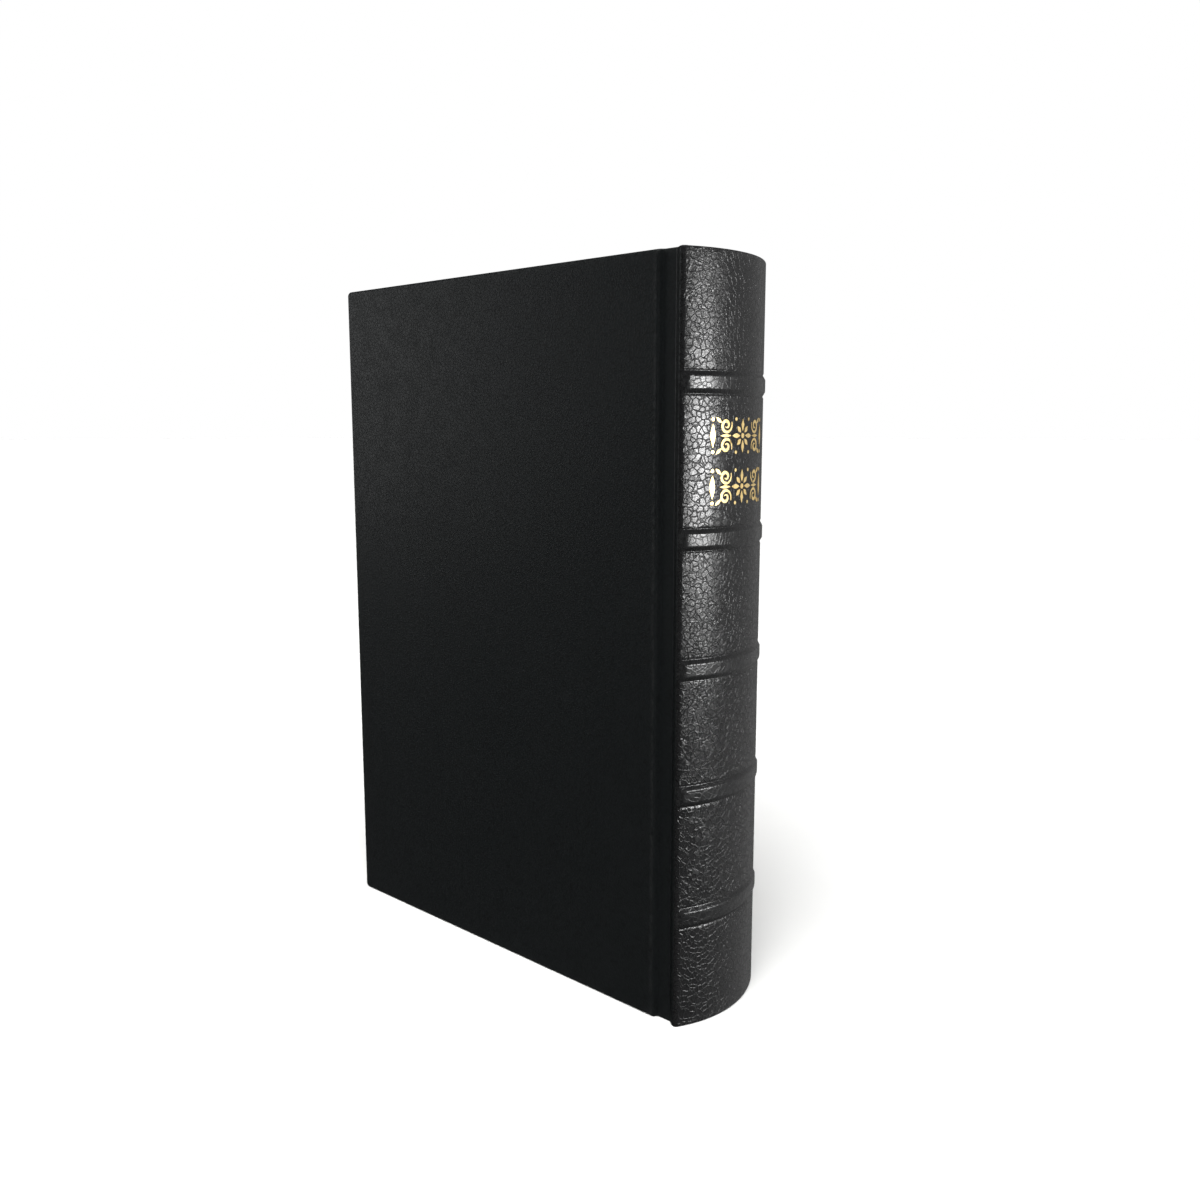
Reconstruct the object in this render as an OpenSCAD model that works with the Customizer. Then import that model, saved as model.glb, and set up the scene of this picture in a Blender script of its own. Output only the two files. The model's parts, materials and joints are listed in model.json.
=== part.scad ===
// Hardcover bible, bound right to left: the front cover faces -Y and the spine faces +X.
// The book stands on its tail. The origin is the bottom centre of its box, with +Z up the spine.
// Each cover, and the leaves that open with it, turns about the spine's shoulder on its own side.

/* [Book] */
// Height of the covers
book_h = 212; // [190:1:230]
// Width of a cover, from the spine's shoulder to the fore-edge
cover_w = 141; // [125:1:155]
// Thickness of the closed book
book_t = 39; // [37:0.5:42]
// How far the rounded spine stands out beyond its shoulders
spine_round = 6; // [5.5:0.25:7]

/* [Case] */
// Thickness of the leatherette
leather_t = 0.5; // [0.4:0.05:0.55]
// Thickness of the leatherette where it is pared and turned in on the spine
pared_t = 0.4; // [0.3:0.05:0.4]
// Thickness of a cover board
board_t = 2.2; // [2:0.1:2.4]
// Width of the leatherette turned in over the boards and the spine
turn_in = 15; // [12:1:20]
// Distance from the spine's shoulder to a board's edge
joint_w = 8.4; // [7.5:0.1:10]
// Depth of the groove between a board and the spine
groove_d = 1.4; // [1.2:0.1:1.5]
// Thickness of the card inlay in the spine
inlay_t = 0.6; // [0.5:0.05:0.7]

/* [Raised bands] */
// Height of the lowest band above the tail
band_low = 32; // [26:1:38]
// Distance between the four lower bands
band_pitch = 35; // [31:0.5:37]
// Height of the title panel, between the fourth band and the top band
title_panel = 41; // [37:1:46]
// Height of the card strip in a band
band_card_h = 4.4; // [3.6:0.2:5]
// How far a band stands out from the spine
band_raise = 0.5; // [0.4:0.05:0.8]

/* [Text block] */
// How far the covers stand out beyond the leaves
square = 3.2; // [2.5:0.1:4]
// Thickness of an endpaper
endpaper_t = 0.2; // [0.15:0.01:0.2]
// Thicknesses of the three groups of leaves that open with a cover
leaf_groups = [1.95, 2.45, 2.95]; // [1:0.05:3.2]
// Number of sections that stay in the middle of the block
middle_count = 8; // [6:1:10]
// Number of stitches along each section's fold
stitch_count = 6; // [4:1:8]
// Radius of the silk bead of a headband
bead_r = 0.8; // [0.6:0.05:0.9]

/* [Hidden] */
band_z = concat([for (i = [0 : 3]) band_low + i * band_pitch], [band_low + 3 * band_pitch + title_panel]);
$fn = 96;

// The shoulders, the spine's arcs and the layers that lie on them.
half_t = book_t / 2;
crest_x = (cover_w - spine_round - band_raise) / 2;
spine_r = (half_t * half_t + spine_round * spine_round) / (2 * spine_round);
spine_x = crest_x + spine_round - spine_r;
inlay_r = spine_r - leather_t;
turned_r = inlay_r - inlay_t;
hollow = 0.3;
lining_t = 0.3;
mull_t = 0.3;
lining_r = turned_r - pared_t - hollow;
mull_r = lining_r - lining_t;
back_r = mull_r - mull_t;

// Depths through a cover, counted inwards from its outer face.
board_v = leather_t;
turned_v = leather_t + board_t;
mull_v = turned_v;
pasted_v = turned_v + leather_t;
cover_t = pasted_v + endpaper_t;
flange_end = 2.2;
joint_end = 2.5;
hinge_end = 3.6;
mull_reach = 25;

// The text block. Faces that slide apart when the book opens are a thin gap from each other.
gap = 0.05;
leaf_start = 3.4;
fold_end = 3;
flyleaf_t = 0.15;
block_half = half_t - cover_t;
shoulder_drop = 2.1;
shoulder_half = half_t - shoulder_drop;
shoulder = [spine_x + sqrt(back_r * back_r - shoulder_half * shoulder_half), -shoulder_half];
lap_end = [crest_x - leaf_start + 0.2, -block_half];
page_w = spine_x - crest_x + sqrt(back_r * back_r - block_half * block_half) + cover_w - square;
flyleaf_v = cover_t + gap;
group_v = [for (i = 0, v = flyleaf_v + flyleaf_t + gap; i <= len(leaf_groups);
                v = v + (i < len(leaf_groups) ? leaf_groups[i] : 0) + gap, i = i + 1) v];
middle_half = half_t - group_v[len(leaf_groups)];
middle_t = 2 * middle_half / middle_count;
stitch_d = 0.6;

// Half widths, across the spine, of what lies on it.
tape_half = 16.4;
inlay_half = half_t - 2.2;
band_half = half_t - leather_t;
ornament_half = 12.6;
foil_t = 0.08;

// Black leatherette and the shades of the papers.
leather_colour = [0.1, 0.11, 0.12];
page_colour = [0.93, 0.89, 0.78];
endpaper_colour = [0.95, 0.93, 0.88];
card_colour = [0.55, 0.53, 0.49];
mull_colour = [0.86, 0.85, 0.8];
gold_colour = [0.83, 0.66, 0.3];

// Puts a part of the front half on the back half.
module side(name) {
    if (name == "back") mirror([0, 1, 0]) children();
    else children();
}

// A block of a cover: u runs from the shoulder to the fore-edge, v from the outer face inwards.
module block(u, v, z) {
    translate([crest_x - u[1], v[0] - half_t, z[0]])
        cube([u[1] - u[0], v[1] - v[0], z[1] - z[0]]);
}

// Plan of a layer that lies around the spine, between two radii.
module layer(r_out, r_in, half_y) {
    intersection() {
        translate([spine_x, 0]) difference() {
            circle(r_out);
            circle(r_in);
        }
        translate([spine_x, -half_y]) square([r_out, 2 * half_y]);
    }
}

module upright(z, h) {
    translate([0, 0, z]) linear_extrude(h) children();
}

// --- Covers ---

module cover_leather(name) {
    color(leather_colour) side(name) difference() {
        union() {
            block([joint_w - leather_t, cover_w], [0, pasted_v], [0, book_h]);
            block([joint_end, joint_w], [groove_d, groove_d + leather_t], [0, book_h]);
            for (z = [[0, turn_in], [book_h - turn_in, book_h]])
                block([joint_end, joint_w], [groove_d, groove_d + leather_t + pared_t], z);
        }
        board_space();
        block([0, joint_w], [groove_d + leather_t + pared_t, cover_t], [-1, book_h + 1]);
        block([0, joint_w], [groove_d + leather_t, cover_t], [turn_in, book_h - turn_in]);
        block([0, cover_w - turn_in], [turned_v, cover_t], [turn_in, book_h - turn_in]);
    }
}

module board_space() {
    block([joint_w, cover_w - leather_t], [board_v, turned_v], [leather_t, book_h - leather_t]);
}

module board(name) {
    color(card_colour) side(name) board_space();
}

module mull_flap_space() {
    block([hinge_end, joint_w + mull_reach], [mull_v, mull_v + mull_t], [turn_in, book_h - turn_in]);
}

module mull_flap(name) {
    color(mull_colour) side(name) mull_flap_space();
}

// The endpaper glued inside a cover. It steps up over the turned-in edges and over the mull.
module pastedown(name) {
    flap_v = mull_v + mull_t + endpaper_t;
    flap_edge = joint_w + mull_reach + endpaper_t;
    tail = turn_in + endpaper_t;
    color(endpaper_colour) side(name) difference() {
        block([hinge_end, cover_w - square], [turned_v, cover_t], [square, book_h - square]);
        difference() {
            block([0, cover_w], [0, pasted_v], [0, book_h]);
            block([joint_w, cover_w - turn_in], [0, cover_t], [turn_in, book_h - turn_in]);
            block([0, cover_w - turn_in], [mull_v + mull_t, cover_t], [turn_in, book_h - turn_in]);
        }
        mull_flap_space();
        block([0, flap_edge], [flap_v, cover_t + 1], [tail, book_h - tail]);
        block([flap_edge - 1, cover_w - turn_in - endpaper_t], [turned_v + endpaper_t, cover_t + 1],
              [tail, book_h - tail]);
    }
}

// --- Text block ---

// Plan of the leaves between two depths, from the hinge line to the hollow fore-edge.
module leaf_plan(start_u, v0, v1) {
    difference() {
        translate([crest_x - cover_w, v0 - half_t]) square([cover_w - start_u, v1 - v0]);
        translate([spine_x - page_w, 0]) circle(back_r);
    }
}

module leaves(name, v, t, shade) {
    color(shade) side(name) upright(square, book_h - 2 * square) leaf_plan(leaf_start, v, v + t);
}

module leaf_group(name, i) {
    leaves(name, group_v[i], leaf_groups[i], page_colour);
}

// Plan of the rounded back, with the shoulders knocked over towards the covers.
module back_plan() {
    front = [lap_end, shoulder, [spine_x + 2 * back_r, shoulder[1]]];
    back = [for (i = [2 : -1 : 0]) [front[i][0], -front[i][1]]];
    intersection() {
        translate([spine_x, 0]) circle(back_r);
        polygon(concat(front, back));
    }
}

module stitches(half_y) {
    pitch = (book_h - 2 * square) / stitch_count;
    for (i = [0 : stitch_count - 1])
        upright(square + (i + 0.5) * pitch - stitch_d / 2, stitch_d)
            layer(back_r, back_r - stitch_d, half_y);
}

module section_folds(name) {
    color(page_colour) side(name) for (i = [0 : len(leaf_groups) - 1]) difference() {
        upright(square, book_h - 2 * square) intersection() {
            back_plan();
            translate([crest_x - fold_end, (i == 0 ? 0 : group_v[i]) - half_t])
                square([back_r, group_v[i] + leaf_groups[i] - (i == 0 ? 0 : group_v[i])]);
        }
        stitches(tape_half);
    }
}

module middle_sections() {
    color(page_colour) difference() {
        upright(square, book_h - 2 * square) for (i = [0 : middle_count - 1]) {
            y = i * middle_t - middle_half;
            intersection() {
                translate([spine_x - page_w, y + gap / 2]) square([page_w + back_r, middle_t - gap]);
                difference() {
                    translate([spine_x - page_w, -back_r]) square([page_w + back_r, 2 * back_r]);
                    translate([spine_x - page_w, 0]) circle(back_r);
                    layer(2 * back_r, back_r, back_r);
                }
            }
        }
        stitches(tape_half);
    }
}

module sewing_threads() {
    color("ivory") stitches(tape_half);
}

// Open-weave cloth on the back, lapped over both shoulders.
module spine_mull() {
    run = (lap_end - shoulder) / norm(lap_end - shoulder);
    out = mull_t * [-run[1], run[0]];
    outer = [spine_x + sqrt(mull_r * mull_r - shoulder[1] * shoulder[1]), shoulder[1]];
    color(mull_colour) upright(turn_in, book_h - 2 * turn_in) {
        layer(mull_r, back_r, shoulder_half + gap);
        for (m = [0, 1]) mirror([0, m])
            polygon([shoulder, lap_end, lap_end + out, shoulder + out, outer]);
    }
}

module spine_lining() {
    color("tan") upright(2 * square, book_h - 4 * square) layer(lining_r, mull_r, tape_half);
}

// Striped silk bead on the end of the block, with its tape glued to the back.
module end_band() {
    color("crimson") {
        upright(book_h - turn_in, turn_in - square + bead_r) layer(mull_r, back_r, tape_half);
        intersection() {
            translate([spine_x, 0, book_h - square + bead_r]) rotate_extrude()
                translate([back_r - bead_r / 2, 0]) circle(bead_r);
            upright(book_h - square, 2 * bead_r) layer(back_r + bead_r, back_r - 2 * bead_r, tape_half);
        }
    }
}

module tailband() {
    translate([0, 0, book_h]) mirror([0, 0, 1]) end_band();
}

// --- Spine of the case ---

module band_space(i, grow) {
    upright(band_z[i] - band_card_h / 2 - grow, band_card_h + 2 * grow)
        layer(inlay_r + band_raise + grow, inlay_r, band_half + grow);
}

// Leatherette from shoulder to shoulder, raised over the bands and turned in at head and tail. A flange
// at each shoulder goes down to the cover's joint.
module spine_leather() {
    arc_end = spine_x + sqrt(inlay_r * inlay_r - half_t * half_t) - crest_x;
    flange_root = [2 * gap, leather_t + 7 * gap];
    pared_r = turned_r - pared_t;
    color(leather_colour) difference() {
        union() {
            upright(0, book_h) {
                layer(spine_r, inlay_r, half_t);
                for (m = [0, 1]) mirror([0, m]) translate([crest_x, -half_t]) polygon([
                    [arc_end - 3 * gap, 0], [arc_end / 2, 0], flange_root,
                    [-flange_end, groove_d + leather_t], [-flange_end, groove_d]
                ]);
            }
            for (z = [0, book_h - leather_t]) upright(z, leather_t) layer(spine_r, pared_r, inlay_half);
            for (z = [leather_t, book_h - turn_in]) upright(z, turn_in - leather_t)
                layer(turned_r, pared_r, inlay_half);
            for (i = [0 : len(band_z) - 1]) band_space(i, leather_t);
        }
        for (i = [0 : len(band_z) - 1]) band_space(i, 0);
    }
}

module spine_inlay() {
    color(card_colour) upright(leather_t, book_h - 2 * leather_t) layer(inlay_r, turned_r, inlay_half);
}

module raised_band(i) {
    color(card_colour) band_space(i, 0);
}

// Two rows of gold scrolls and lozenges in the title panel, pressed onto the spine.
module spine_ornament() {
    row_h = title_panel / 3;
    middle = (band_z[3] + band_z[4]) / 2;
    color(gold_colour) intersection() {
        upright(middle - row_h, 2 * row_h) layer(spine_r + foil_t, spine_r, ornament_half);
        translate([spine_x, 0, middle]) rotate([90, 0, 90]) linear_extrude(2 * spine_r)
            for (row = [-1, 1]) translate([0, row * row_h / 2]) scroll_row();
    }
}

// A lozenge between two open scrolls, with a bead and a small lozenge at each end.
module scroll_row() {
    lozenge(2.4, 5);
    for (m = [0, 1]) mirror([m, 0]) {
        translate([6.6, 0]) {
            open_scroll(3.6, 0.9);
            lozenge(1, 1.6);
        }
        translate([11.2, 0]) lozenge(1, 2.6);
        for (t = [-1, 1]) {
            translate([11.2, t * 4.4]) circle(0.6);
            translate([3.1, t * 4.4]) circle(0.6);
        }
    }
}

module lozenge(half_w, half_h) {
    polygon([[half_w, 0], [0, half_h], [-half_w, 0], [0, -half_h]]);
}

// A ring that is open on its outer side, like a C.
module open_scroll(r, w) {
    difference() {
        circle(r);
        circle(r - w);
        polygon([[0, 0], [2 * r, -3 * r], [2 * r, 3 * r]]);
    }
}

for (name = ["front", "back"]) {
    cover_leather(name);
    board(name);
    pastedown(name);
    mull_flap(name);
    leaves(name, flyleaf_v, flyleaf_t, endpaper_colour);
    for (i = [0 : len(leaf_groups) - 1])
        leaf_group(name, i);
    section_folds(name);
}
middle_sections();
sewing_threads();
spine_mull();
spine_lining();
end_band();  // headband
tailband();
spine_leather();
spine_inlay();
spine_ornament();
for (i = [0 : len(band_z) - 1])
    raised_band(i);
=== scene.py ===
import json
import math
import random

import bpy
import numpy as np
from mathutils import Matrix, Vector


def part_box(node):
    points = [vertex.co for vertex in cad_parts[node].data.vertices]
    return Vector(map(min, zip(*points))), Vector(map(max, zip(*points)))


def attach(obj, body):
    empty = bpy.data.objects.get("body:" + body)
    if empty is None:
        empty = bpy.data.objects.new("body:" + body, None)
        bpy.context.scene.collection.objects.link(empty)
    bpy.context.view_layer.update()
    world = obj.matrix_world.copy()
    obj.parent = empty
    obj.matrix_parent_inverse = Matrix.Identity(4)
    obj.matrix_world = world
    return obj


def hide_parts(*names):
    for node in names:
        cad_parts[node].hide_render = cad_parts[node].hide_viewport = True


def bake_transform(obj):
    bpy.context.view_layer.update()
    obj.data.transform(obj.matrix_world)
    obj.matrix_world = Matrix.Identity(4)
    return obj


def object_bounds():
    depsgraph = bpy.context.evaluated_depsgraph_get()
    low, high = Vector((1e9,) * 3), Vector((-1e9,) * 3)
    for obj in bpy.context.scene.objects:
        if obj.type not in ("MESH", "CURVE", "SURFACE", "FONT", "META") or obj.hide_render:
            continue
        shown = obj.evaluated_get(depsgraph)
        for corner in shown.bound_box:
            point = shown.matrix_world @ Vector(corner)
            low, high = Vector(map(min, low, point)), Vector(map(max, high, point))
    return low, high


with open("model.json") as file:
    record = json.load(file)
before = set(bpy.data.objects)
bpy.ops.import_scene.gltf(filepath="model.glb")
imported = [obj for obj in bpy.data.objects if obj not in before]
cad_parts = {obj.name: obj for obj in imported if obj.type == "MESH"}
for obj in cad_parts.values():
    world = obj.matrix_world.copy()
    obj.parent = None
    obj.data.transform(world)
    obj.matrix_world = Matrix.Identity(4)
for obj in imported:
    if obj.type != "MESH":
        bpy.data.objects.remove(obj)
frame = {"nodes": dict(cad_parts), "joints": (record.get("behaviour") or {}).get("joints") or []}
cad_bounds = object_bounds()

# A hardcover bible bound right to left. Lengths are in metres: MM turns millimetres into them.
# A point of a cover or a leaf is given by u, its distance from the spine's shoulder (the crest)
# towards the fore-edge, by v, its depth inwards from the closed book's outer face, and by z.
MM = 0.001
SIDES = {"front": -1, "back": 1}

# --- Sizes, read from the frame ---

book_lo, book_hi = cad_bounds
HEIGHT = book_hi.z
HALF_T = -book_lo.y
CREST = next(j["pos_m"][0] for j in frame["joints"] if j["name"] == "front_cover_hinge")
COVER_W = CREST - book_lo.x
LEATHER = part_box("front_board")[0].y - book_lo.y
BOARD_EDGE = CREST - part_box("front_board")[1].x
BOARD_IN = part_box("front_board")[1].y + HALF_T
COVER_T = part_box("front_pastedown")[1].y + HALF_T
PAPER = COVER_T - (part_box("front_cover_leather")[1].y + HALF_T)
TURN_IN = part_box("front_mull_flap")[0].z
FLAP_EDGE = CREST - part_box("front_mull_flap")[0].x
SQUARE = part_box("front_pastedown")[0].z

SPINE_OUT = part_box("spine_inlay")[1].x + LEATHER
SPINE_R = (HALF_T ** 2 + (SPINE_OUT - CREST) ** 2) / (2 * (SPINE_OUT - CREST))
SPINE_X = SPINE_OUT - SPINE_R
BAND_RAISE = book_hi.x - SPINE_OUT
BANDS = [sum(c.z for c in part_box(f"raised_band_{i}")) / 2 for i in range(1, 6)]

TAIL, HEAD = (c.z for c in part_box("middle_sections"))
BLOCK_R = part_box("middle_sections")[1].x - SPINE_X
BLOCK_HALF = -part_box("front_flyleaf")[0].y
PAGE_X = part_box("front_flyleaf")[0].x - math.sqrt(BLOCK_R ** 2 - BLOCK_HALF ** 2)
TAPE_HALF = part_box("headband")[1].y
BEAD_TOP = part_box("headband")[1].z

HINGE = 3.3 * MM        # where the leaves and endpapers leave the fixed fold
GROOVE = 1.4 * MM       # depth of the pressed joint below the cover's face
SHOULDER = 0.8 * MM     # where the cover's leatherette meets the spine's
CLOSEST = 0.04 * MM     # least distance between two rows of a mesh


def smooth(t):
    """0 below 0, 1 above 1, and an S between."""
    t = np.clip(t, 0.0, 1.0)
    return t * t * (3 - 2 * t)


def graded(start, stop, step, fine):
    """Positions from start to stop, about step apart, plus the fine ones that lie between them."""
    plain = np.linspace(start, stop, max(2, int(round(abs(stop - start) / step)) + 1))
    values = np.concatenate([plain, [f for f in fine if start < f < stop]])
    values = np.unique(np.round(values, 7))
    keep = [values[0]]
    for value in values[1:]:
        if value - keep[-1] > CLOSEST:
            keep.append(value)
    keep[-1] = values[-1]
    return np.array(keep)


def rim_steps(length, radius, count):
    """Distances from both ends of a length at which a rounded rim is sampled."""
    steps = [radius * (1 - math.cos(math.pi / 2 * k / count)) for k in range(1, count + 1)]
    return steps + [length - s for s in steps]


def drop(distance, radius):
    """How far a rounded rim falls away at a distance from its edge."""
    rest = np.clip(radius - distance, 0.0, radius)
    return radius - np.sqrt(np.maximum(radius ** 2 - rest ** 2, 0.0))


# --- Meshes ---

SHARP = math.radians(38)        # faces that meet at a larger angle keep a hard edge between them


def mesh_object(name, verts, faces, uvs, kinds=None):
    """An object from vertices, faces, one UV per vertex and an optional material index per face.

    Each vertex also stores its place at rest, so that the grain stays on a piece that bends."""
    mesh = bpy.data.meshes.new(name)
    mesh.from_pydata([tuple(v) for v in verts], [], faces)
    mesh.polygons.foreach_set("use_smooth", [True] * len(mesh.polygons))
    if kinds is not None:
        mesh.polygons.foreach_set("material_index", kinds)
    layer = mesh.uv_layers.new(name="UVMap")
    loops = np.zeros(len(mesh.loops), np.int32)
    mesh.loops.foreach_get("vertex_index", loops)
    layer.data.foreach_set("uv", np.asarray(uvs, np.float32)[loops].ravel())
    attribute = mesh.attributes.new("rest", "FLOAT_VECTOR", "POINT")
    attribute.data.foreach_set("vector", np.asarray(verts, np.float32).ravel())
    mesh.update()
    mesh.set_sharp_from_angle(angle=SHARP)
    obj = bpy.data.objects.new(name, mesh)
    bpy.context.scene.collection.objects.link(obj)
    return obj


def slab_object(name, slab):
    """An object of one closed slab, with the same material all over."""
    verts, faces, uvs = slab[:3]
    return mesh_object(name, verts, faces, uvs)


def grid_faces(nu, nz, offset, flip):
    """Faces of a grid of nu by nz vertices, the first of which has the number offset."""
    faces = []
    for i in range(nu - 1):
        for k in range(nz - 1):
            a = offset + i * nz + k
            quad = (a, a + nz, a + nz + 1, a + 1)
            faces.append(quad[::-1] if flip else quad)
    return faces


def slab_data(outer, inner, uv, flip):
    """Vertices, faces, UVs and material indices (1 on the rim) of a closed slab between two grids."""
    nu, nz = outer.shape[:2]
    count = nu * nz
    verts = np.concatenate([outer.reshape(-1, 3), inner.reshape(-1, 3)])
    faces = grid_faces(nu, nz, 0, flip) + grid_faces(nu, nz, count, not flip)
    flags = [0] * len(faces)
    ring = [i * nz for i in range(nu)] + [(nu - 1) * nz + k for k in range(1, nz)]
    ring += [i * nz + nz - 1 for i in range(nu - 2, -1, -1)] + [k for k in range(nz - 2, 0, -1)]
    for a, b in zip(ring, ring[1:] + ring[:1]):
        quad = (a, a + count, b + count, b)
        faces.append(quad[::-1] if flip else quad)
        flags.append(1)
    return verts, faces, np.concatenate([uv.reshape(-1, 2)] * 2), flags


def place(side, u, v, z):
    """Points in the frame for u, v and z on one side of the book."""
    u, v, z = np.broadcast_arrays(u, v, z)
    return np.stack([CREST - u, SIDES[side] * (HALF_T - v), z], axis=-1)


def cover_slab(side, us, zs, outer, inner):
    """A closed slab whose outer and inner depths are given at every u and z."""
    u, z = np.meshgrid(us, zs, indexing="ij")
    uv = np.stack([u, z], axis=-1)
    return slab_data(place(side, u, outer, z), place(side, u, inner, z), uv, side == "back")


# --- Materials ---

class Nodes:
    """Builds one Principled material from named nodes."""

    def __init__(self, name, **settings):
        self.material = bpy.data.materials.new(name)
        self.material.use_nodes = True
        self.tree = self.material.node_tree
        self.shader = self.tree.nodes["Principled BSDF"]
        for key, value in settings.items():
            self.shader.inputs[key.replace("_", " ")].default_value = value

    def add(self, kind, inputs=None, **settings):
        """A node of a kind; its inputs are sockets to link or values to set."""
        node = self.tree.nodes.new(kind)
        for key, value in settings.items():
            setattr(node, key, value)
        for key, value in (inputs or {}).items():
            if isinstance(value, bpy.types.NodeSocket):
                self.tree.links.new(value, node.inputs[key])
            else:
                node.inputs[key].default_value = value
        return node

    def stored(self, name):
        """The outputs of a value that is stored on the mesh."""
        return self.add("ShaderNodeAttribute", attribute_name=name, attribute_type="GEOMETRY").outputs

    def rest(self, scale):
        """The place at rest, which stays on the surface when a piece bends, times scale."""
        return self.scaled(self.stored("rest")["Vector"], scale)

    def local(self, scale):
        """The place on a rigid CAD node, times scale."""
        coords = self.add("ShaderNodeTexCoord")
        return self.scaled(coords.outputs["Object"], scale)

    def scaled(self, vector, scale):
        scale = scale if hasattr(scale, "__len__") else (scale,) * 3
        return self.add("ShaderNodeVectorMath", {0: vector, 1: scale}, operation="MULTIPLY").outputs[0]

    def noise(self, vector, scale=1.0, detail=3.0, rough=0.5):
        inputs = {"Vector": vector, "Scale": scale, "Detail": detail, "Roughness": rough}
        return self.add("ShaderNodeTexNoise", inputs).outputs["Fac"]

    def cells(self, vector):
        """Distance from the nearest border between irregular cells of about unit size."""
        inputs = {"Vector": vector, "Scale": 1.0, "Randomness": 1.0}
        return self.add("ShaderNodeTexVoronoi", inputs, feature="DISTANCE_TO_EDGE").outputs["Distance"]

    def math(self, operation, a, b=0.0):
        return self.add("ShaderNodeMath", {0: a, 1: b}, operation=operation).outputs[0]

    def product(self, a, b):
        return self.math("MULTIPLY", a, b)

    def opposite(self, value):
        """One minus a value."""
        return self.math("SUBTRACT", 1.0, value)

    def span(self, value, low, high, to_low=0.0, to_high=1.0, soft=True):
        """A value mapped from low..high to to_low..to_high and held there, along an S where soft."""
        inputs = {"Value": value, "From Min": low, "From Max": high, "To Min": to_low, "To Max": to_high}
        kind = "SMOOTHSTEP" if soft else "LINEAR"
        return self.add("ShaderNodeMapRange", inputs, interpolation_type=kind).outputs["Result"]

    def mix(self, factor, a, b):
        """A colour between a and b; sockets 6, 7 and 2 are the node's colour ones."""
        node = self.add("ShaderNodeMix", data_type="RGBA")
        for socket, value in ((node.inputs[0], factor), (node.inputs[6], a), (node.inputs[7], b)):
            if isinstance(value, bpy.types.NodeSocket):
                self.tree.links.new(value, socket)
            else:
                socket.default_value = value
        return node.outputs[2]

    def bump(self, height, distance):
        inputs = {"Height": height, "Distance": distance, "Strength": 1.0}
        return self.add("ShaderNodeBump", inputs).outputs["Normal"]

    def out(self, **links):
        """The finished material, with these sockets linked to its shader's inputs."""
        for key, socket in links.items():
            self.tree.links.new(socket, self.shader.inputs[key.replace("_", " ")])
        return self.material


def rgb(red, green, blue):
    return (red, green, blue, 1.0)


WARP = 0.9              # how far the plates' borders wander, in cells
CRACK = 0.13            # from the middle of a crack to the full height of a plate, in cells
FINE_CELLS = 2.4        # fine cells along one plate
PRESSED_FLAT = 0.7      # share of the grain that pressing takes away
# painted shade: the near-black colour that the cracks of the grain are darkened towards
CRACK_SHADE = rgb(0.0015, 0.0017, 0.0018)
WORN_TONE = rgb(0.035, 0.036, 0.036)


def leatherette(name, cell, relief, gloss, dark, light):
    """Black leatherette: glossy plates between fine cracks with painted shade in them, flatter where pressed
    and worn at edges.
    """
    n = Nodes(name, IOR=1.43, Specular_IOR_Level=0.5)
    grid = n.rest(1 / cell)
    bend = n.add("ShaderNodeTexNoise", {"Vector": grid, "Scale": 0.8, "Detail": 3.0}).outputs["Color"]
    shift = n.scaled(bend, WARP)
    warped = n.add("ShaderNodeVectorMath", {0: grid, 1: shift}, operation="ADD").outputs[0]
    plates = n.span(n.cells(warped), 0.0, CRACK)
    crack = n.opposite(plates)
    small = n.span(n.cells(n.scaled(warped, FINE_CELLS)), 0.0, 0.16)
    pebble = n.noise(grid, 4.0, 2.0, 0.6)
    height = n.math("ADD", n.product(small, 0.16), n.product(pebble, 0.16))
    height = n.math("ADD", plates, height)
    kept = n.opposite(n.product(n.stored("pressed")["Fac"], PRESSED_FLAT))
    rubbed = n.product(n.stored("wear")["Fac"], n.span(n.noise(n.rest(900.0)), 0.35, 0.75))
    tone = n.mix(n.noise(n.rest(35.0)), rgb(*dark), rgb(*light))
    # painted shade: the cracks of the grain are darkened towards a near-black colour
    tone = n.mix(n.product(crack, 0.7), tone, CRACK_SHADE)
    tone = n.mix(n.product(rubbed, 0.5), tone, WORN_TONE)
    rough = n.span(n.noise(n.rest(240.0), 1.0, 2.0), 0.3, 0.7, gloss, gloss + 0.09, soft=False)
    rough = n.math("ADD", rough, n.product(crack, 0.12))
    normal = n.bump(n.product(height, kept), relief)
    return n.out(Base_Color=tone, Roughness=rough, Normal=normal)


LINE_PITCH = 2.7 * MM
COLUMNS = ((0.12, 0.475), (0.525, 0.88))        # shares of a page's width
TOP_MARGIN, TAIL_MARGIN = 13 * MM, 14 * MM
BAR_BLUR = 0.25 * MM


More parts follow.
